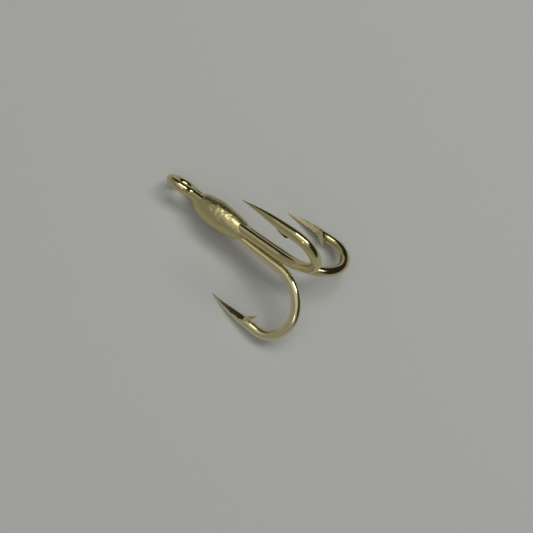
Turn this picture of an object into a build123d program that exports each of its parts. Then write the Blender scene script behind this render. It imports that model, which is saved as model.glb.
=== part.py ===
"""Treble hook: a double hook bent from one wire, whose middle is the eye, and a single hook,
laid in the groove between its two shanks and brazed there under one spindle of braze.

The hooks are drawn along their common axis, X, from the outer end of the eye at x = 0 to the
bends. Last, the whole hook is laid down the way it rests. Units are millimetres.
"""
import os
from copy import copy
from math import acos, degrees, radians, sqrt, tan

from build123d import *

# Wire
WIRE = 1.2                  # diameter of the wire that all three hooks are made of
SHANK_GAP = 0.03            # film of braze between neighbouring shanks

# Eye
EYE_BORE = 1.88             # clear hole for a split ring or a snap
EYE_FLAT = 0.04             # depth that the mandrel presses into the inside of the eye
NECK_RADIUS = 0.9           # bend that brings the eye's two ends back side by side

# Braze
BRAZE_LENGTH = 7.6
BRAZE_RADIUS = 1.68         # at its fullest, half way along
BRAZE_SHOULDER = 0.5        # from each end to where it starts to taper faster
BRAZE_SHOULDER_RADIUS = 1.1
BRAZE_FRONT_RADIUS = 0.5    # where it first fills the groove behind the eye
BRAZE_BACK_RADIUS = 0.8     # where it runs out between the shanks
SINGLE_HOOK_INSET = 1.5     # from the braze's front end to the single hook's own end
FRONT_END_CHAMFER = 0.25    # on that end

# Hooks
FAR_SHANK = 5.5             # straight length of each shank, between the braze and its bend
NEAR_SHANK = 4.3
SINGLE_SHANK = 5.0
SPLAY = 2.0                 # degrees that each shank leans out once it is clear of the braze
SPLAY_RADIUS = 20.0
BEND = ((5.2, 65.0), (3.4, 52.0), (2.8, 63.5))   # radius and degrees, opening to closing
LEG = 6.8                   # from the end of the bend to the tip of the point
HOOK_TURN = 120.0           # degrees between neighbouring hooks

# Point, in wire diameters: a round taper, with two facets ground hollow on its inner side
TAPER = 2.95                # its length
TIP_RADIUS = 0.03
GRINDING_WHEEL = 16.4       # radius of the wheel that grinds the facets
GRINDING_PLACE = 0.58       # back from the tip to where the wheel goes deepest
GRINDING_DEPTH = 0.062      # what it leaves there, from the middle of the wire
FACET_LEAN = 50.0           # degrees that each facet is turned from facing the shank

# Barb, in wire diameters: back from the tip and inward from the middle of the leg
BARB_HEEL = (3.30, 0.00)        # inside the leg, where the lifted sliver is one with it
BARB_TOP = (3.40, 0.46)         # where the sliver rises out of the crest of the point
BARB_TIP = (4.75, 1.28)
BARB_ROOT = (4.10, 0.36)        # bottom of the cut behind the sliver
BARB_CUT = (4.80, 0.52)         # where the blade went into the wire

# Laying down
TILTS = 8                   # more than the tilting needs
FOOT_TOLERANCE = 0.01       # how closely the faces are followed to find their lowest points

shank_spacing = WIRE + SHANK_GAP
shank_offset = shank_spacing / sqrt(3)          # from the hooks' axis to each shank
eye_radius = EYE_BORE / 2 - EYE_FLAT + WIRE / 2
eye_centre = eye_radius + WIRE / 2
neck_rise = shank_spacing / 2 + NECK_RADIUS
neck_reach = NECK_RADIUS + eye_radius
neck_turn = degrees(acos(neck_rise / neck_reach))
braze_start = eye_centre + sqrt(neck_reach**2 - neck_rise**2)
braze_end = braze_start + BRAZE_LENGTH
taper = TAPER * WIRE


def in_wires(place):
    """A place that is given in wire diameters, in millimetres."""
    return tuple(size * WIRE for size in place)


def hook(start, free_shank):
    """One hook in the XZ plane: its shank from `start`, bend, leg, ground point and barb."""
    with BuildLine(Plane.XZ) as middle:
        brazed = Line((start, shank_offset), (braze_end, shank_offset))
        run = JernArc(brazed @ 1, brazed % 1, SPLAY_RADIUS, SPLAY)
        run = Line(run @ 1, run @ 1 + free_shank * (run % 1))
        for radius, turn in BEND:
            run = JernArc(run @ 1, run % 1, radius, turn)
        Line(run @ 1, run @ 1 + (LEG - taper) * (run % 1))
    line = middle.wire()
    back = -(line % 1)
    tip = line @ 1 - taper * back
    side = Plane(origin=tip, x_dir=back, z_dir=(0, 1, 0))

    top, end = (side.from_local_coords(in_wires(place)) for place in (BARB_TOP, BARB_TIP))
    with BuildPart() as barb:
        with BuildSketch(side):
            with BuildLine():
                Polyline(*map(in_wires, (BARB_HEEL, BARB_ROOT, BARB_TIP, BARB_TOP)), close=True)
            make_face()
        extrude(amount=WIRE, both=True)
        # Its two flanks carry on the facets of the point
        with BuildSketch(Plane(origin=top, x_dir=(0, 1, 0), z_dir=end - top)):
            with BuildLine():
                flank = WIRE / tan(radians(FACET_LEAN))
                Polyline((0, 0), (flank, WIRE), (-flank, WIRE), close=True)
            make_face()
        extrude(amount=2 * WIRE, both=True, mode=Mode.INTERSECT)

    with BuildPart() as whole:
        with BuildSketch(Plane(origin=line @ 0, z_dir=line % 0)):
            Circle(WIRE / 2)
        sweep(path=line)
        with BuildSketch(side):
            with BuildLine():
                ogive = TangentArc((taper, WIRE / 2), (0, TIP_RADIUS * WIRE), tangent=(-1, 0))
                Polyline(ogive @ 1, (0, 0), (taper, 0), ogive @ 0)
            make_face()
        revolve(axis=Axis(tip, back))
        for lean in (-FACET_LEAN, FACET_LEAN):
            wheel = Location(in_wires((GRINDING_PLACE, 0, 0)), (lean, 0, 0))
            wheel *= Location(in_wires((0, GRINDING_DEPTH + GRINDING_WHEEL, 0)))
            with Locations(side * wheel):
                Cylinder(GRINDING_WHEEL * WIRE, 2 * WIRE, mode=Mode.SUBTRACT)
        with BuildSketch(side):
            with BuildLine():
                Polyline(*map(in_wires, (BARB_ROOT, BARB_CUT, BARB_TIP)), close=True)
            make_face()
        extrude(amount=WIRE, both=True, mode=Mode.SUBTRACT)
        add(barb.part)
    return whole.part


near_hook = hook(braze_start, NEAR_SHANK)
far_hook = hook(braze_start, FAR_SHANK).rotate(Axis.X, -HOOK_TURN)

# The eye lies in the plane of its own two shanks
shanks_middle = Vector(0, 0, shank_offset / 2).rotate(Axis.X, -HOOK_TURN / 2)
eye_plane = Plane(origin=shanks_middle, x_dir=(1, 0, 0), z_dir=shanks_middle)
with BuildPart() as eye:
    with BuildLine(eye_plane) as eye_line:
        bend = JernArc((braze_start, -shank_spacing / 2), (-1, 0), NECK_RADIUS, neck_turn)
        bend = JernArc(bend @ 1, bend % 1, eye_radius, -180 - 2 * neck_turn)
        bend = JernArc(bend @ 1, bend % 1, NECK_RADIUS, neck_turn)
    with BuildSketch(Plane(origin=bend @ 1, z_dir=(1, 0, 0))):
        Circle(WIRE / 2)
    sweep()
    # Flat that the forming mandrel leaves round the inside, with its seam towards one side
    with Locations(eye_plane * Location((eye_centre, 0, 0), (0, 0, 90))):
        Cylinder(EYE_BORE / 2, 2 * WIRE, mode=Mode.SUBTRACT)

with BuildPart() as double_hook:
    add([eye.part, near_hook, far_hook])

single_front = braze_start + SINGLE_HOOK_INSET
with BuildPart() as single_hook:
    add(hook(single_front, SINGLE_SHANK).rotate(Axis.X, HOOK_TURN))
    chamfer(single_hook.edges().sort_by(Axis.X)[0], FRONT_END_CHAMFER)

with BuildPart() as brazed_joint:
    with BuildSketch(Plane.XZ):
        with BuildLine():
            belly = ThreePointArc(
                (braze_start + BRAZE_SHOULDER, BRAZE_SHOULDER_RADIUS),
                ((braze_start + braze_end) / 2, BRAZE_RADIUS),
                (braze_end - BRAZE_SHOULDER, BRAZE_SHOULDER_RADIUS),
            )
            Polyline(belly @ 1, (braze_end, BRAZE_BACK_RADIUS), (braze_end, 0))
            Line((braze_end, 0), (braze_start, 0))
            Polyline((braze_start, 0), (braze_start, BRAZE_FRONT_RADIUS), belly @ 0)
        make_face()
    revolve(axis=Axis.X)
    add([double_hook.part, single_hook.part], mode=Mode.SUBTRACT)

# The hook rests on its eye and on the single and the far hook. The plane through the lowest
# point of each is found by tilting a level plane until it stays on the same three points.
feet = [solid.tessellate(FOOT_TOLERANCE)[0] for solid in (eye.part, single_hook.part, far_hook)]
up = Vector(0, 0, 1)
for _ in range(TILTS):
    eye_foot, single_foot, far_foot = (min(points, key=up.dot) for points in feet)
    up = (single_foot - eye_foot).cross(far_foot - eye_foot).normalized()
ahead = Vector(1, 0, 0) - up * up.X
table = Plane(origin=eye_foot, x_dir=ahead, z_dir=up)

pieces = {"double_hook": double_hook, "single_hook": single_hook, "brazed_joint": brazed_joint}
for piece in pieces.values():
    piece.part.move(table.location.inverse())
lying = Compound(children=[copy(piece.part) for piece in pieces.values()]).bounding_box()

os.makedirs("parts", exist_ok=True)
for name, piece in pieces.items():
    piece.part.move(Location((-lying.center().X, -lying.center().Y, -lying.min.Z)))
    piece.part.label = name
    export_step(piece.part, f"parts/{name}.step")
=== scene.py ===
"""Treble hook: two gold-plated wires and the braze that joins them, on a pale studio floor.

The wires are drawn in the hooks' own frame, in millimetres: X runs along their common axis from
the outer end of the eye to the bends. Then the hook is laid down as it rests, in metres.
"""
from math import acos, cos, pi, radians, sin, sqrt

import bmesh
import bpy
import numpy as np
from bpy.props import FloatProperty, FloatVectorProperty, PointerProperty
from mathutils import Matrix, Vector, noise


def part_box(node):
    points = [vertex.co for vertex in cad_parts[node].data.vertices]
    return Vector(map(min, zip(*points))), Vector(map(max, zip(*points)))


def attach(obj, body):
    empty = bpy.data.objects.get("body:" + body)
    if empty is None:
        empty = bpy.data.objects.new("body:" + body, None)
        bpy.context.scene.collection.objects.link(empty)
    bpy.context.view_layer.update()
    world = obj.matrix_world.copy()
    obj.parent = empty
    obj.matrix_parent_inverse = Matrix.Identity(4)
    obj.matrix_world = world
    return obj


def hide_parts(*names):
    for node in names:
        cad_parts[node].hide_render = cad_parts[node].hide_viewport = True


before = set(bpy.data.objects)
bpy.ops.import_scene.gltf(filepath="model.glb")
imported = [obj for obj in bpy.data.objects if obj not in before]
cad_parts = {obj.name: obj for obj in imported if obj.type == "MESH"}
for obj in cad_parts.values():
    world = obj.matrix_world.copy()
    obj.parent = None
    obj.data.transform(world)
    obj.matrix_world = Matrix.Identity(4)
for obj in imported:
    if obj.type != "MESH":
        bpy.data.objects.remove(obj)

bl_info = {
    "name": "Treble hook",
    "version": (1, 0, 0),
    "blender": (4, 5, 0),
    "location": "3D View > Sidebar > Treble Hook",
    "description": "Builds a gold-plated treble hook piece by piece and sets it on a studio floor",
    "category": "Add Mesh",
}

MM = 0.001
BODY = "root"

# How finely the wires are made
RING = 48                   # points round a wire
ANGLES = np.arange(RING) * 2 * pi / RING    # where they are, from the inner side of the wire
WIRE_STEP = 0.12            # between rings, mm
POINT_STEP = 0.06           # between rings along a ground point, mm
POINT_MARGIN = 0.3          # how far behind a point the rings stay close, in wire diameters
WELD = 0.0005               # points closer together than this become one, mm
SHARP_EDGE = 32.0           # faces that turn by more degrees than this meet in a crisp edge

# How a real wire differs from a perfect tube
WAVES = ((1.1, 0.006), (0.45, 0.003))   # waviness of the surface: lengths and heights, mm
WAVES_SEED = 1              # which waves they are; without it they would change with the clock
BEND_SOFTENING = 1.0        # over which a bend's curvature sets in, mm
NECK_SOFTENING = 0.5        # the same at the eye's neck, mm
NECK_SEARCH = 0.3           # radians by which that may change the neck's turn
NECK_TRIES = 40             # halvings of that range

# The three bends of a hook, from the shank to the leg: radius in mm and turn in degrees
BENDS = ((5.2, 65.0), (3.4, 52.0), (2.8, 63.5))

# Where each hook stands round the common axis, in radians
HOOK_TURN = 2 * pi / 3
NEAR_TURN = 0.0
FAR_TURN = -HOOK_TURN
SINGLE_TURN = HOOK_TURN
TILTS = 8                   # more than it takes to find the three points that the hook lies on

RADIUS = 0.5                # of the wire, in wire diameters

# Ground point, in wire diameters: back from the tip, the outer side, the crest on the inner
# side, and the half width. Both sides are measured inward from the middle of the leg.
POINT_SHAPE = (
    (0.00, 0.04, 0.08, 0.02),
    (0.50, -0.06, 0.09, 0.09),
    (1.20, -0.22, 0.11, 0.19),
    (2.10, -0.38, 0.19, 0.30),
    (2.90, -0.47, 0.32, 0.38),
    (3.80, -0.50, 0.50, 0.45),
    (4.90, -0.50, 0.90, 0.50),
)
FACET_LEAN = 50.0           # degrees that each ground facet is turned from facing the shank
EDGE_SOFTNESS = 0.012       # how far the facets' edges are rounded, in wire diameters
SQUAREST = 1e-3             # keeps the facets finite where they are seen edge-on

# Barb, in wire diameters: back from the tip and inward from the middle of the leg
BARB_HEEL = (3.95, 0.00)    # inside the leg, where the lifted sliver is one with it
BARB_ROOT = (4.65, 0.38)    # bottom of the cut behind the sliver
BARB_CUT = (5.30, 0.52)     # where the blade went into the wire
BARB_TOP = (4.10, 0.52)     # where the sliver rises out of the point
BARB_TIP = (5.12, 1.34)
BARB_THINNEST = 0.004       # thickness of the sliver at its tip, at least
NEAR_BARB_LIFT = 0.8        # the near hook's barb is lifted less than the others
CUT_MARGIN_FRONT = 0.3      # how far the cut reaches in front of its bottom
CUT_MARGIN_BACK = 0.1       # and behind the place where the blade went in
CUT_FRONT_SLOPE = 2.5       # how steeply it rises in front

# How finely the sliver is made
BARB_RINGS = 26
BARB_END = 0.985            # share of its length that is drawn, short of the knife edge
BARB_TOP_POINTS = 17        # across its upper side
BARB_BOTTOM_POINTS = 9      # across its lower side

# Braze: half width in mm at each distance from its front end
BRAZE_OUTLINE = (
    (0.0, 0.30),
    (0.3, 0.64),
    (1.0, 1.08),
    (1.9, 1.42),
    (3.8, 1.66),
    (5.4, 1.56),
    (6.6, 1.38),
    (7.6, 1.12),
    (8.2, 0.60),
)

BRAZE_RINGS = 80            # along the spindle
BRAZE_VOXEL = 0.05          # grid on which the spindle and the wires are melted together, mm
BRAZE_SMOOTHING = 14        # rounds of smoothing, which leave fillets along the wires
SMOOTHING_SHARE = 0.5       # how far each round moves a point towards its neighbours
RIPPLES = ((0.55, 0.030), (0.24, 0.018))    # of its surface: lengths and heights, mm
RIPPLE_FADE = 0.15          # distance from a wire over which the ripples set in, mm

# Stubs of the wires, which shape the braze's fillets
STUB_FRONT = 0.9            # how far they stick out of the braze's front, mm
STUB_BACK = 0.8             # and of its back
STUB_REACH = 1.65           # from the hooks' axis, mm: the points come back further out
STUB_THICKNESS = 0.97       # share of the wire's, so that they stay inside it

# Studio: a room whose light has these strengths, in each direction
WALLS = 0.27
CEILING = 0.58
CEILING_EDGE = (0.72, 0.92)         # heights between which walls turn into ceiling
DARK_SIDE = (0.30, 0.95, 0.0)       # where the walls are dark
DARKNESS = 0.92                     # share of their light that is missing there
DARK_EDGE = (-0.05, 0.25)           # how squarely the dark walls are faced where they begin
DARK_TOP = (0.84, 0.68)             # heights between which they begin, from the top down
ROOM_COLOUR = (1.0, 1.0, 0.98, 1.0)
FLOOR_HALF = 2.0                    # half the floor's side, m
FLOOR_GAP = 0.002                   # between the floor and the hook, mm

# Lights: name, sides in m, and azimuth and elevation in degrees
LIGHTS = (
    ("key", (0.34, 0.19), (185.0, 69.0)),
    ("spark", (0.13, 0.13), (142.0, 56.0)),
    ("glint", (0.06, 0.06), (24.0, 54.0)),
)
LIGHT_DISTANCE = 0.5                # m
LIGHT_COLOUR = (1.0, 1.0, 0.97)

# Sockets of the node that mixes two colours
FIRST_COLOUR = 6
SECOND_COLOUR = 7
MIXED_COLOUR = 2


class TrebleHookSizes(bpy.types.PropertyGroup):
    """Sizes of the two wires."""

    wire: FloatProperty(
        name="Wire", description="Diameter of the wire", default=1.2 * MM, unit="LENGTH"
    )
    shank_gap: FloatProperty(
        name="Shank gap", description="Film of braze between neighbouring shanks",
        default=0.03 * MM, unit="LENGTH",
    )
    eye_bore: FloatProperty(
        name="Eye", description="Clear hole of the eye", default=1.88 * MM, unit="LENGTH"
    )
    eye_flat: FloatProperty(
        name="Eye flat", description="Depth of the flat that the mandrel leaves inside the eye",
        default=0.04 * MM, unit="LENGTH",
    )
    neck_radius: FloatProperty(
        name="Neck", description="Bend that brings the ends of the eye back side by side",
        default=0.9 * MM, unit="LENGTH",
    )
    braze_length: FloatProperty(
        name="Braze", description="Length of the shank that the braze covers",
        default=7.6 * MM, unit="LENGTH",
    )
    single_inset: FloatProperty(
        name="Single hook inset", description="From the front of the braze to the single hook",
        default=1.5 * MM, unit="LENGTH",
    )
    near_shank: FloatProperty(
        name="Upright shank", description="Free shank of the upright hook",
        default=4.3 * MM, unit="LENGTH",
    )
    far_shank: FloatProperty(
        name="Far shank", description="Free shank of the double hook's other hook",
        default=5.5 * MM, unit="LENGTH",
    )
    single_shank: FloatProperty(
        name="Single shank", description="Free shank of the single hook",
        default=5.0 * MM, unit="LENGTH",
    )
    splay: FloatProperty(
        name="Splay", description="Lean of each shank once it is clear of the braze",
        default=radians(2.0), unit="ROTATION",
    )
    splay_radius: FloatProperty(
        name="Splay radius", description="Bend that starts the splay",
        default=20.0 * MM, unit="LENGTH",
    )
    leg: FloatProperty(
        name="Leg", description="From the end of the bend to the tip of the point",
        default=6.8 * MM, unit="LENGTH",
    )


class TrebleHookFinish(bpy.types.PropertyGroup):
    """Colours and polish of the plating."""

    gold: FloatVectorProperty(
        name="Gold", description="Colour of the polished plating",
        default=(0.68, 0.61, 0.335), subtype="COLOR", min=0.0, max=1.0,
    )
    deep_gold: FloatVectorProperty(
        name="Deep gold", description="Colour of the plating where it is thicker",
        default=(0.58, 0.50, 0.24), subtype="COLOR", min=0.0, max=1.0,
    )
    braze_gold: FloatVectorProperty(
        name="Braze gold", description="Colour of the plating on the braze",
        default=(0.64, 0.57, 0.29), subtype="COLOR", min=0.0, max=1.0,
    )
    wire_roughness: FloatProperty(
        name="Wire roughness", description="Roughness of the polished wire",
        default=0.10, min=0.0, max=1.0,
    )
    braze_roughness: FloatProperty(
        name="Braze roughness", description="Roughness of the satin braze",
        default=0.32, min=0.0, max=1.0,
    )


class TrebleHookStudio(bpy.types.PropertyGroup):
    """Floor, lights and camera."""

    floor_colour: FloatVectorProperty(
        name="Floor", description="Colour of the floor",
        default=(0.615, 0.625, 0.602), subtype="COLOR", min=0.0, max=1.0,
    )
    key_power: FloatProperty(
        name="Key light", description="Power of the soft key light", default=0.49, unit="POWER"
    )
    spark_power: FloatProperty(
        name="Small light", description="Power of the small light that makes bright spots",
        default=0.26, unit="POWER",
    )
    glint_power: FloatProperty(
        name="Glint light", description="Power of the small light on the pale side",
        default=0.04, unit="POWER",
    )
    camera_azimuth: FloatProperty(
        name="Camera azimuth", description="Where the camera stands, round the hook",
        default=radians(4.9), unit="ROTATION",
    )
    camera_elevation: FloatProperty(
        name="Camera elevation", description="Height of the camera above the horizon",
        default=radians(72.7), unit="ROTATION",
    )
    camera_roll: FloatProperty(
        name="Camera roll", description="Turn of the camera about its own axis",
        default=radians(35.0), unit="ROTATION",
    )
    camera_distance: FloatProperty(
        name="Camera distance", description="From the camera to the point it looks at",
        default=70.4 * MM, unit="LENGTH",
    )
    camera_target: FloatVectorProperty(
        name="Camera target", description="Point that the camera looks at",
        default=(4.24 * MM, -1.08 * MM, 3.0 * MM), subtype="TRANSLATION", unit="LENGTH",
    )
    lens: FloatProperty(name="Lens", description="Focal length in millimetres", default=40.95)


# ---------------------------------------------------------------- shader expressions


class Shade:
    """A socket of a shader node. Arithmetic on it adds Math nodes."""

    def __init__(self, tree, socket=None):
        self.tree = tree
        self.socket = socket

    def node(self, kind, settings=None, inputs=None, output=0):
        """Adds a node: its settings first, then its sockets' values or links."""
        made = self.tree.nodes.new(kind)
        for name, value in (settings or {}).items():
            setattr(made, name, value)
        for name, value in (inputs or {}).items():
            socket = made.inputs[name]
            if isinstance(value, Shade):
                self.tree.links.new(value.socket, socket)
            else:
                socket.default_value = value
        return Shade(self.tree, made.outputs[output] if made.outputs else None)

    def maths(self, operation, first, second):
        """A Math node."""
        return self.node("ShaderNodeMath", {"operation": operation}, {0: first, 1: second})

    def step(self, low, high):
        """Rises smoothly from 0 at `low` to 1 at `high`."""
        return self.node(
            "ShaderNodeMapRange", {"interpolation_type": "SMOOTHSTEP"},
            {"Value": self, "From Min": low, "From Max": high},
        )

    def towards(self, direction):
        """How far a vector points in a direction."""
        return self.node(
            "ShaderNodeVectorMath", {"operation": "DOT_PRODUCT"},
            {0: self, 1: direction}, output="Value",
        )

    def __add__(self, other):
        return self.maths("ADD", self, other)

    def __radd__(self, other):
        return self.maths("ADD", other, self)

    def __sub__(self, other):
        return self.maths("SUBTRACT", self, other)

    def __rsub__(self, other):
        return self.maths("SUBTRACT", other, self)

    def __mul__(self, other):
        return self.maths("MULTIPLY", self, other)

    def __rmul__(self, other):
        return self.maths("MULTIPLY", other, self)


def mixed(base, factor, first, second):
    """Two colours mixed by a factor."""
    return base.node(
        "ShaderNodeMix", {"data_type": "RGBA"},
        {"Factor": factor, FIRST_COLOUR: first, SECOND_COLOUR: second}, output=MIXED_COLOUR,
    )


def new_material(name):
    """An empty node material, and its tree ready for expressions."""
    material = bpy.data.materials.new(name)
    material.use_nodes = True
    material.node_tree.nodes.clear()
    return material, Shade(material.node_tree)


def metal(base, colour, roughness, normal):
    """A bare metal surface, joined to the material's output."""
    surface = base.node(
        "ShaderNodeBsdfPrincipled", None,
        {"Base Color": colour, "Metallic": 1.0, "Roughness": roughness, "Normal": normal},
    )
    base.node("ShaderNodeOutputMaterial", None, {"Surface": surface})


def speckle(place, scale, detail):
    """Noise at a place: how many patches there are to a metre, and how finely they break up."""
    return place.node("ShaderNodeTexNoise", None, {"Vector": place, "Scale": scale, "Detail": detail})


def gold_wire_material(finish):
    """Polished gold plating over drawn wire: faint die marks, a few pits, uneven thickness."""
    material, base = new_material("gold_wire")
    along = base.node("ShaderNodeTexCoord", None, None, output="UV")
    place = base.node("ShaderNodeTexCoord", None, None, output="Object")
    stretched = base.node(
        "ShaderNodeMapping", None, {"Vector": along, "Scale": (0.6, 26.0, 1.0)}
    )
    die_marks = speckle(stretched, 1.0, 3.0)
    cloud = speckle(place, 900.0, 3.0)
    pits = speckle(place, 5200.0, 2.0)
    colour = mixed(base, cloud, (*finish.gold, 1.0), (*finish.deep_gold, 1.0))
    patches = 0.10 * (cloud - 0.45)
    streaks = 0.08 * (die_marks - 0.5)
    roughness = finish.wire_roughness + patches + streaks
    height = die_marks + 0.5 * pits
    normal = base.node(
        "ShaderNodeBump", None, {"Height": height, "Strength": 0.10, "Distance": 0.01 * MM}
    )
    metal(base, colour, roughness, normal)
    return material


def gold_braze_material(finish):
    """Satin gold plating over braze metal: mottled, with fine ripples where it froze."""
    material, base = new_material("gold_braze")
    place = base.node("ShaderNodeTexCoord", None, None, output="Object")
    mottle = speckle(place, 1500.0, 3.0)
    grain = speckle(place, 7000.0, 3.0)
    colour = mixed(base, mottle, (*finish.braze_gold, 1.0), (*finish.deep_gold, 1.0))
    roughness = finish.braze_roughness + 0.3 * (mottle - 0.5)
    normal = base.node(
        "ShaderNodeBump", None,
        {"Height": mottle + 0.12 * grain, "Strength": 0.3, "Distance": 0.03 * MM},
    )
    metal(base, colour, roughness, normal)
    return material


def floor_material(studio):
    """Matt floor."""
    material, base = new_material("studio_floor")
    surface = base.node(
        "ShaderNodeBsdfPrincipled", None,
        {"Base Color": (*studio.floor_colour, 1.0), "Roughness": 0.85},
    )
    base.node("ShaderNodeOutputMaterial", None, {"Surface": surface})
    return material


# ---------------------------------------------------------------- wires, in millimetres


class Millimetres:
    """The sizes of a property group: lengths in millimetres, angles in radians."""

    def __init__(self, group):
        for name, kind in group.bl_rna.properties.items():
            if kind.type == "FLOAT":
                value = getattr(group, name)
                setattr(self, name, value / MM if kind.unit == "LENGTH" else value)
        self.radius = self.wire / 2
        self.shank_spacing = self.wire + self.shank_gap
        self.shank_offset = self.shank_spacing / sqrt(3)
        self.eye_radius = self.eye_bore / 2 - self.eye_flat + self.radius
        self.eye_centre = self.eye_radius + self.radius
        rise = self.shank_spacing / 2 + self.neck_radius
        reach = self.neck_radius + self.eye_radius
        self.neck_turn = acos(rise / reach)
        self.braze_start = self.eye_centre + sqrt(reach**2 - rise**2)
        self.braze_end = self.braze_start + self.braze_length


def flat_line(start, heading, runs, step, softening):
    """A wire's middle line in its own plane, from runs of (length, turn): places, headings."""
    lengths = np.array([length for length, _ in runs])
    bends = np.array([turn for _, turn in runs]) / lengths
    count = round(lengths.sum() / step)
    step = lengths.sum() / count
    middles = (np.arange(count) + 0.5) * step
    bend = bends[np.searchsorted(np.cumsum(lengths)[:-1], middles)]
    # The weights are odd in number, and the first and the last are zero
    weights = np.hanning(2 * round(softening / 2 / step) + 3)
    bend = np.convolve(np.pad(bend, len(weights) // 2), weights / weights.sum(), "valid")
    headings = heading + np.concatenate([[0.0], np.cumsum(bend * step)])
    ways = (headings[1:] + headings[:-1]) / 2
    moves = np.column_stack([np.cos(ways), np.sin(ways)]) * step
    places = np.vstack([[0.0, 0.0], np.cumsum(moves, axis=0)])
    return places + start, headings


def hook_line(sizes, start, free_shank, turn):
    """One hook's middle line, turned about X: places, tangents and inward directions."""
    runs = [
        (sizes.braze_end - start, 0.0),
        (sizes.splay_radius * sizes.splay, sizes.splay),
        (free_shank, 0.0),
        *((radius * radians(angle), radians(angle)) for radius, angle in BENDS),
        (sizes.leg, 0.0),
    ]
    flat, headings = flat_line((start, sizes.shank_offset), 0.0, runs, POINT_STEP, BEND_SOFTENING)
    outward = np.array([0.0, -sin(turn), cos(turn)])
    ahead = np.array([1.0, 0.0, 0.0])
    places = flat[:, :1] * ahead + flat[:, 1:] * outward
    inward = -np.sin(headings)[:, None] * ahead + np.cos(headings)[:, None] * outward
    tangents = np.cos(headings)[:, None] * ahead + np.sin(headings)[:, None] * outward
    return places, tangents, inward


def eye_line(sizes, normal):
    """The eye's middle line, from one shank round to the other, and its tangents."""
    across = np.cross(normal, (1.0, 0.0, 0.0))
    half_gap = sizes.shank_spacing / 2

    def half(neck_turn):
        runs = [
            (sizes.eye_radius * (pi / 2 + neck_turn), -(pi / 2 + neck_turn)),
            (sizes.neck_radius * neck_turn, neck_turn),
            (NECK_SOFTENING, 0.0),
        ]
        return flat_line((sizes.radius, 0.0), pi / 2, runs, WIRE_STEP, NECK_SOFTENING)

    # The neck turns until the two ends of the eye lie at the shanks' distance
    low, high = sizes.neck_turn - NECK_SEARCH, sizes.neck_turn + NECK_SEARCH
    for _ in range(NECK_TRIES):
        neck_turn = (low + high) / 2
        flat, headings = half(neck_turn)
        low, high = (neck_turn, high) if flat[-1, 1] > half_gap else (low, neck_turn)
    mirrored = flat[:0:-1] * (1.0, -1.0)
    flat = np.vstack([mirrored, flat])
    headings = np.concatenate([pi - headings[:0:-1], headings])
    ahead = np.array([1.0, 0.0, 0.0])
    middle = normal * sizes.shank_offset / 2
    places = middle + flat[:, :1] * ahead + flat[:, 1:] * across
    tangents = np.cos(headings)[:, None] * ahead + np.sin(headings)[:, None] * across
    return places, tangents


def point_section(back):
    """Section of the ground point at a distance back from its tip, in wire diameters.

    Each place is (inward, sideways). The round body tapers, and two facets are ground off its
    inner side, which meet in a crest.
    """
    stations, *rows = np.array(POINT_SHAPE).T
    outer, crest, half_width = (smooth_through(back, stations, row) for row in rows)
    lean = radians(FACET_LEAN)
    middle = outer + half_width
    origin = (outer + min(crest, middle + half_width)) / 2
    offset = origin - middle
    toward, aside = np.cos(ANGLES), np.abs(np.sin(ANGLES))
    body = -offset * toward + np.sqrt(half_width**2 - (offset * aside) ** 2)
    facing = toward * cos(lean) + aside * sin(lean)
    ground = (crest - origin) * cos(lean) / np.maximum(facing, SQUAREST)
    # The nearer of the two, rounded where one takes over from the other
    blend = np.clip(0.5 - np.abs(body - ground) / EDGE_SOFTNESS / 4, 0, None)
    reach = np.minimum(body, ground) - EDGE_SOFTNESS * blend**2
    return origin + reach * toward, reach * np.sin(ANGLES)


def smooth_through(place, places, values):
    """A smooth curve through the given values that doesn't overshoot them."""
    slopes = np.diff(values) / np.diff(places)
    before, after = slopes[:-1], slopes[1:]
    same_way = after * before > 0
    both = np.where(same_way, after + before, 1)
    tangents = np.zeros(len(values))
    tangents[1:-1] = np.where(same_way, 2 * after * before / both, 0)
    tangents[0], tangents[-1] = slopes[0], slopes[-1]
    i = int(np.clip(np.searchsorted(places, place) - 1, 0, len(places) - 2))
    width = places[i + 1] - places[i]
    t = np.clip((place - places[i]) / width, 0, 1)
    return (
        (2 * t**3 - 3 * t**2 + 1) * values[i]
        + (t**3 - 2 * t**2 + t) * width * tangents[i]
        + (3 * t**2 - 2 * t**3) * values[i + 1]
        + (t**3 - t**2) * width * tangents[i + 1]
    )


def wire_section(back):
    """Section of the wire at a distance back from the tip, in wire diameters."""
    if back >= POINT_SHAPE[-1][0]:
        inward, sideways = RADIUS * np.cos(ANGLES), RADIUS * np.sin(ANGLES)
    else:
        inward, sideways = point_section(back)
    (root_back, root_in), (cut_back, cut_in) = BARB_ROOT, BARB_CUT
    if root_back - CUT_MARGIN_FRONT < back < cut_back + CUT_MARGIN_BACK:
        bottom = root_in + (back - root_back) * (cut_in - root_in) / (cut_back - root_back)
        bottom += CUT_FRONT_SLOPE * max(root_back - back, 0.0)
        inward = np.minimum(inward, bottom)
    return inward, sideways


def wire_rings(sizes, line, tip_distance):
    """Rings of points round a line, shaped by how far each is back from the tip.

    The wire is thinner by the height of its waves, which are added later.
    """
    thickness = sizes.wire - 2 * sum(height for _, height in WAVES)
    rings = []
    for place, tangent, inner, back in zip(*line, tip_distance):
        toward, aside = wire_section(back / sizes.wire)
        side = np.cross(tangent, inner)
        rings.append(place + thickness * (toward[:, None] * inner + aside[:, None] * side))
    return np.array(rings)


def thinned(line, tip_distance, sizes):
    """Keeps every ring along the point and every second one elsewhere."""
    point = tip_distance < (POINT_SHAPE[-1][0] + POINT_MARGIN) * sizes.wire
    keep = point | (np.arange(len(tip_distance)) % round(WIRE_STEP / POINT_STEP) == 0)
    keep[0] = keep[-1] = True
    return tuple(part[keep] for part in line), tip_distance[keep]


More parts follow.
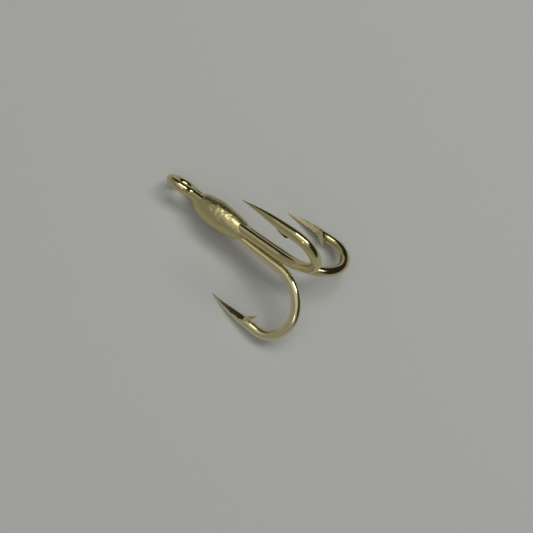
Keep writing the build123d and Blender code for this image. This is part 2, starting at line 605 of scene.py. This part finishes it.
def hook_rings(sizes, start, free_shank, turn):
    """Rings of one hook, from the front end of its shank to its tip."""
    line = hook_line(sizes, start, free_shank, turn)
    steps = np.linalg.norm(np.diff(line[0], axis=0), axis=1)
    tip_distance = np.concatenate([np.cumsum(steps[::-1])[::-1], [0.0]])
    line, tip_distance = thinned(line, tip_distance, sizes)
    return wire_rings(sizes, line, tip_distance)


def double_hook_rings(sizes):
    """Rings of the double hook, from the near tip through the eye to the far tip."""
    half_turn = HOOK_TURN / 2
    backwards = -np.arange(RING) % RING
    near = hook_rings(sizes, sizes.braze_start, sizes.near_shank, NEAR_TURN)[::-1, backwards]
    far = hook_rings(sizes, sizes.braze_start, sizes.far_shank, FAR_TURN)
    normal = np.array([0.0, sin(half_turn), cos(half_turn)])
    places, tangents = eye_line(sizes, normal)
    # Turned so that the points round the eye's wire meet those round both shanks
    inward = cos(half_turn) * normal + sin(half_turn) * np.cross(normal, tangents)
    no_tip = np.full(len(places), np.inf)
    eye = wire_rings(sizes, (places, tangents, inward), no_tip)
    eye = press_eye_flat(sizes, eye, normal)
    clear = eye[places[:, 0] < sizes.braze_start - WIRE_STEP / 2]
    return near, clear, far


def press_eye_flat(sizes, rings, normal):
    """Presses the mandrel's flat into the inside of the eye."""
    centre = normal * sizes.shank_offset / 2 + np.array([sizes.eye_centre, 0.0, 0.0])
    away = rings - centre
    away -= (away @ normal)[..., None] * normal
    distance = np.linalg.norm(away, axis=-1, keepdims=True)
    short = np.clip(sizes.eye_bore / 2 - distance, 0, None)
    return rings + away / distance * short


def single_hook_rings(sizes):
    """Rings of the single hook."""
    start = sizes.braze_start + sizes.single_inset
    return hook_rings(sizes, start, sizes.single_shank, SINGLE_TURN)


def laid_down(sizes):
    """The matrix, from millimetres to metres, that lays the hook on its eye and two hooks."""
    near, eye, far = double_hook_rings(sizes)
    single = single_hook_rings(sizes)
    feet = [part.reshape(-1, 3) for part in (eye, single, far)]
    up = np.array([0.0, 0.0, 1.0])
    for _ in range(TILTS):
        eye_foot, single_foot, far_foot = (part[(part @ up).argmin()] for part in feet)
        up = np.cross(single_foot - eye_foot, far_foot - eye_foot)
        up /= np.linalg.norm(up)
    ahead = np.array([1.0, 0.0, 0.0]) - up[0] * up
    ahead /= np.linalg.norm(ahead)
    turn = np.array([ahead, np.cross(up, ahead), up])
    everything = np.vstack([*feet, near.reshape(-1, 3)]) @ turn.T
    low, high = everything.min(axis=0) * MM, everything.max(axis=0) * MM
    frame_lows, frame_highs = zip(*(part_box(node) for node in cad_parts))
    frame_low, frame_high = np.min(frame_lows, axis=0), np.max(frame_highs, axis=0)
    shift = (frame_low + frame_high) / 2 - (low + high) / 2
    shift[2] = frame_low[2] - low[2]
    matrix = Matrix.Identity(4)
    for row in range(3):
        matrix[row] = (*(turn[row] * MM), shift[row])
    return matrix


def roughened(points):
    """Moves points a little, so that highlights waver as on real wire."""
    noise.seed_set(WAVES_SEED)
    moved = np.array(points, float)
    flat = moved.reshape(-1, 3)
    for i, place in enumerate(points.reshape(-1, 3)):
        for length, height in WAVES:
            flat[i] += height * np.array(noise.noise_vector(Vector(place / length)))
    return moved


def tube(name, rings):
    """A closed tube through rings of points, with a cap at each end, and its UVs."""
    count, around = rings.shape[:2]
    mesh = bmesh.new()
    uv = mesh.loops.layers.uv.new("along_wire")
    vertices = [[mesh.verts.new(place) for place in ring] for ring in rings]
    middles = rings.mean(axis=1)
    along = np.concatenate([[0.0], np.cumsum(np.linalg.norm(np.diff(middles, axis=0), axis=1))])
    for i in range(count - 1):
        for j in range(around):
            k = (j + 1) % around
            corners = ((i, j), (i, j + 1), (i + 1, j + 1), (i + 1, j))
            face = mesh.faces.new(
                (vertices[i][j], vertices[i][k], vertices[i + 1][k], vertices[i + 1][j])
            )
            face.smooth = True
            for loop, (u, v) in zip(face.loops, corners):
                loop[uv].uv = (along[u], v / around)
    for ring, place in ((vertices[0][::-1], middles[0]), (vertices[-1], middles[-1])):
        centre = mesh.verts.new(place)
        for first, second in zip(ring, ring[1:] + ring[:1]):
            mesh.faces.new((first, second, centre)).smooth = True
    bmesh.ops.recalc_face_normals(mesh, faces=mesh.faces)
    data = bpy.data.meshes.new(name)
    mesh.to_mesh(data)
    mesh.free()
    made = bpy.data.objects.new(name, data)
    bpy.context.scene.collection.objects.link(made)
    return made


def sliver_rings(sizes, tip, back, inner, lift):
    """Rings of a barb: the sliver that a blade lifts out of the point."""
    side = np.cross(back, inner)
    (heel, heel_in), (root, root_in) = BARB_HEEL, BARB_ROOT
    (top, top_in), (end, end_in) = BARB_TOP, BARB_TIP
    end_in *= lift
    lean = radians(FACET_LEAN)
    rings = []
    for share in np.linspace(0.0, BARB_END, BARB_RINGS):
        place = heel + share * (end - heel)
        upper = top_in + (place - top) * (end_in - top_in) / (end - top)
        if place < root:
            lower = heel_in + (place - heel) * (root_in - heel_in) / (root - heel)
        else:
            lower = root_in + (place - root) * (end_in - root_in) / (end - root)
        # Its upper side is as round as the wire, down to its own thickness
        thick = min(max(upper - lower, BARB_THINNEST), RADIUS)
        half = np.arccos(1 - thick / RADIUS)
        over = np.linspace(-half, half, BARB_TOP_POINTS)
        inward = upper - RADIUS + RADIUS * np.cos(over)
        aside = RADIUS * np.sin(over)
        # Towards its heel, its flanks carry on the facets of the point
        ground = np.clip((root - place) / (root - heel), 0, 1)
        limit = (upper - RADIUS) * cos(lean) + RADIUS - ground * RADIUS * (1 - cos(lean))
        excess = np.clip(inward * cos(lean) + np.abs(aside) * sin(lean) - limit, 0, None)
        inward -= excess * cos(lean)
        aside -= excess * sin(lean) * np.sign(aside)
        # Its lower side is flat
        bottom = min(lower, inward[0])
        inward[0] = inward[-1] = bottom
        across = np.linspace(aside[-1], aside[0], BARB_BOTTOM_POINTS)[1:-1]
        inward = np.append(inward, np.full(len(across), bottom))[:, None]
        aside = np.append(aside, across)[:, None]
        rings.append(tip + sizes.wire * (place * back + inward * inner + aside * side))
    return np.array(rings)


def apply_modifiers(made):
    """Replaces an object's mesh by what its modifiers make of it."""
    graph = bpy.context.evaluated_depsgraph_get()
    data = bpy.data.meshes.new_from_object(made.evaluated_get(graph))
    made.modifiers.clear()
    made.data = data


def with_barb(made, sizes, line, lift=1.0):
    """Joins a barb to the wire whose middle line ends at the point."""
    places, tangents, inward = line
    sliver = tube("sliver", sliver_rings(sizes, places[-1], -tangents[-1], inward[-1], lift))
    join = made.modifiers.new("barb", "BOOLEAN")
    join.operation = "UNION"
    join.solver = "EXACT"
    join.object = sliver
    apply_modifiers(made)
    bpy.data.objects.remove(sliver)


def finished(made, matrix, material, node):
    """Lays a piece down among the others, on the hook's body, and hides the model's part of the same
    name.
    """
    made.data.transform(matrix)
    made.data.materials.clear()
    made.data.materials.append(material)
    mesh = bmesh.new()
    mesh.from_mesh(made.data)
    bmesh.ops.remove_doubles(mesh, verts=mesh.verts, dist=WELD * MM)
    for face in mesh.faces:
        face.smooth = True
    for edge in mesh.edges:
        edge.smooth = len(edge.link_faces) != 2 or edge.calc_face_angle() <= radians(SHARP_EDGE)
    mesh.to_mesh(made.data)
    mesh.free()
    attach(made, BODY)
    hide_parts(node)


class OBJECT_OT_treble_double_hook(bpy.types.Operator):
    """Build the double hook: one wire with the eye in its middle and a hook at each end"""

    bl_idname = "object.treble_double_hook"
    bl_label = "Double Hook"

    def execute(self, context):
        scene = context.scene
        sizes = Millimetres(scene.treble_sizes)
        made = tube("double_hook_wire", roughened(np.concatenate(double_hook_rings(sizes))))
        near = hook_line(sizes, sizes.braze_start, sizes.near_shank, NEAR_TURN)
        far = hook_line(sizes, sizes.braze_start, sizes.far_shank, FAR_TURN)
        with_barb(made, sizes, near, NEAR_BARB_LIFT)
        with_barb(made, sizes, far)
        material = gold_wire_material(scene.treble_finish)
        finished(made, laid_down(sizes), material, "double_hook")
        return {"FINISHED"}


class OBJECT_OT_treble_single_hook(bpy.types.Operator):
    """Build the single hook that lies in the groove of the double hook's shanks"""

    bl_idname = "object.treble_single_hook"
    bl_label = "Single Hook"

    def execute(self, context):
        scene = context.scene
        sizes = Millimetres(scene.treble_sizes)
        made = tube("single_hook_wire", roughened(single_hook_rings(sizes)))
        start = sizes.braze_start + sizes.single_inset
        with_barb(made, sizes, hook_line(sizes, start, sizes.single_shank, SINGLE_TURN))
        material = bpy.data.materials["gold_wire"]
        finished(made, laid_down(sizes), material, "single_hook")
        return {"FINISHED"}


class OBJECT_OT_treble_braze(bpy.types.Operator):
    """Build the braze: a spindle that runs out in fillets along the wires"""

    bl_idname = "object.treble_braze"
    bl_label = "Braze"

    def execute(self, context):
        scene = context.scene
        sizes = Millimetres(scene.treble_sizes)
        made = braze_body(sizes)
        material = gold_braze_material(scene.treble_finish)
        finished(made, laid_down(sizes), material, "brazed_joint")
        return {"FINISHED"}


def braze_body(sizes):
    """The spindle and short stubs of the wires, melted together and smoothed."""
    reach, width = np.array(BRAZE_OUTLINE).T
    spindle = []
    for place in np.linspace(0.0, reach[-1], BRAZE_RINGS):
        radius = smooth_through(place, reach, width)
        ahead = np.full(RING, sizes.braze_start + place)
        spindle.append(np.column_stack([ahead, radius * np.cos(ANGLES), radius * np.sin(ANGLES)]))
    body = tube("brazed_joint_body", np.array(spindle))
    stubs = [stub(sizes, rings) for rings in braze_wires(sizes)]
    joined = [body, *stubs]
    with bpy.context.temp_override(
        active_object=body, selected_editable_objects=joined, selected_objects=joined
    ):
        bpy.ops.object.join()
    melt = body.modifiers.new("melt", "REMESH")
    melt.mode = "VOXEL"
    melt.voxel_size = BRAZE_VOXEL
    smooth = body.modifiers.new("smooth", "SMOOTH")
    smooth.factor = SMOOTHING_SHARE
    smooth.iterations = BRAZE_SMOOTHING
    apply_modifiers(body)
    ripple(sizes, body.data)
    return body


def braze_wires(sizes):
    """Rings of the three wires that run through the braze: the double hook's two and the single."""
    double = np.concatenate(double_hook_rings(sizes))
    middle = len(double) // 2
    return double[:middle], double[middle:], single_hook_rings(sizes)


def stub(sizes, rings):
    """The part of a wire that is in the braze or just outside it."""
    ahead, *across = rings.mean(axis=1).T
    in_braze = (ahead > sizes.braze_start - STUB_FRONT) & (ahead < sizes.braze_end + STUB_BACK)
    kept = rings[in_braze & (np.hypot(*across) < STUB_REACH)]
    centres = kept.mean(axis=1, keepdims=True)
    return tube("stub", centres + (kept - centres) * STUB_THICKNESS)


def ripple(sizes, data):
    """Gives the braze its hammered surface, which fades out where it meets a wire."""
    mesh = bmesh.new()
    mesh.from_mesh(data)
    mesh.normal_update()
    shanks = [
        Vector((0, -sin(turn), cos(turn))) * sizes.shank_offset
        for turn in (NEAR_TURN, SINGLE_TURN, FAR_TURN)
    ]
    for vertex in mesh.verts:
        place = vertex.co
        across = Vector((0, place.y, place.z))
        clear = min((across - shank).length for shank in shanks) - sizes.radius
        fade = min(max(clear / RIPPLE_FADE, 0.0), 1.0)
        rise = sum(height * noise.noise(place / length) for length, height in RIPPLES)
        vertex.co = place + vertex.normal * rise * fade
    mesh.to_mesh(data)
    mesh.free()


class OBJECT_OT_treble_studio(bpy.types.Operator):
    """Build the floor, the lights and the camera"""

    bl_idname = "object.treble_studio"
    bl_label = "Studio"

    def execute(self, context):
        scene = context.scene
        studio = scene.treble_studio
        make_floor(studio)
        make_world(scene)
        make_lights(studio)
        make_camera(scene, studio)
        scene.view_settings.view_transform = "Standard"
        return {"FINISHED"}


def make_floor(studio):
    """One wide floor, just below the lowest point of the hook."""
    mesh = bmesh.new()
    bmesh.ops.create_grid(mesh, x_segments=1, y_segments=1, size=FLOOR_HALF)
    data = bpy.data.meshes.new("floor")
    mesh.to_mesh(data)
    mesh.free()
    floor = bpy.data.objects.new("floor", data)
    lowest = min(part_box(node)[0].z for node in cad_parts)
    floor.location.z = lowest - FLOOR_GAP * MM
    data.materials.append(floor_material(studio))
    bpy.context.scene.collection.objects.link(floor)


def make_world(scene):
    """A room with dim walls, dark ones on one side and a pale ceiling."""
    world = bpy.data.worlds.new("studio")
    scene.world = world
    world.use_nodes = True
    world.node_tree.nodes.clear()
    base = Shade(world.node_tree)
    way = base.node("ShaderNodeTexCoord", None, None, output="Generated")
    height = way.towards((0.0, 0.0, 1.0))
    dark_side = way.towards(DARK_SIDE).step(*DARK_EDGE) * height.step(*DARK_TOP)
    overhead = height.step(*CEILING_EDGE)
    strength = (WALLS + (CEILING - WALLS) * overhead) * (1.0 - DARKNESS * dark_side)
    light = base.node("ShaderNodeBackground", None, {"Color": ROOM_COLOUR, "Strength": strength})
    base.node("ShaderNodeOutputWorld", None, {"Surface": light})


def make_lights(studio):
    """A long soft key light, high above on the dark side, and two small ones for bright spots."""
    for name, sides, (azimuth, elevation) in LIGHTS:
        light = area_light(name, getattr(studio, f"{name}_power"), sides)
        place(light, (0.0, 0.0, 0.0), radians(azimuth), radians(elevation), LIGHT_DISTANCE)


def area_light(name, power, sides):
    """A rectangular light."""
    data = bpy.data.lights.new(name, "AREA")
    data.shape = "RECTANGLE"
    data.size, data.size_y = sides
    data.energy = power
    data.color = LIGHT_COLOUR
    light = bpy.data.objects.new(name, data)
    bpy.context.scene.collection.objects.link(light)
    return light


def place(thing, target, azimuth, elevation, distance, roll=0.0):
    """Puts a light or camera round a target and points it there."""
    back = Vector((sin(azimuth) * cos(elevation), -cos(azimuth) * cos(elevation), sin(elevation)))
    thing.rotation_mode = "QUATERNION"
    thing.location = Vector(target) + distance * back
    turn = back.to_track_quat("Z", "Y")
    thing.rotation_quaternion = turn @ Matrix.Rotation(roll, 3, "Z").to_quaternion()


def make_camera(scene, studio):
    """The camera, close above the hook."""
    data = bpy.data.cameras.new("camera")
    data.lens = studio.lens
    data.clip_start = MM
    camera = bpy.data.objects.new("camera", data)
    scene.collection.objects.link(camera)
    place(
        camera, studio.camera_target, studio.camera_azimuth, studio.camera_elevation,
        studio.camera_distance, studio.camera_roll,
    )
    scene.camera = camera


class VIEW3D_PT_treble_hook(bpy.types.Panel):
    """Lists the pieces of the treble hook"""

    bl_idname = "VIEW3D_PT_treble_hook"
    bl_label = "Treble Hook"
    bl_space_type = "VIEW_3D"
    bl_region_type = "UI"
    bl_category = "Treble Hook"

    def draw(self, context):
        for kind in OPERATORS:
            self.layout.operator(kind.bl_idname)


OPERATORS = (
    OBJECT_OT_treble_double_hook,
    OBJECT_OT_treble_single_hook,
    OBJECT_OT_treble_braze,
    OBJECT_OT_treble_studio,
)
CLASSES = (TrebleHookSizes, TrebleHookFinish, TrebleHookStudio, *OPERATORS, VIEW3D_PT_treble_hook)


def register():
    for kind in CLASSES:
        bpy.utils.register_class(kind)
    bpy.types.Scene.treble_sizes = PointerProperty(type=TrebleHookSizes)
    bpy.types.Scene.treble_finish = PointerProperty(type=TrebleHookFinish)
    bpy.types.Scene.treble_studio = PointerProperty(type=TrebleHookStudio)


def unregister():
    del bpy.types.Scene.treble_studio
    del bpy.types.Scene.treble_finish
    del bpy.types.Scene.treble_sizes
    for kind in reversed(CLASSES):
        bpy.utils.unregister_class(kind)


def main():
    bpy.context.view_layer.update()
    register()
    bpy.ops.object.treble_double_hook()
    bpy.ops.object.treble_single_hook()
    bpy.ops.object.treble_braze()
    bpy.ops.object.treble_studio()


if __name__ == "__main__":
    main()
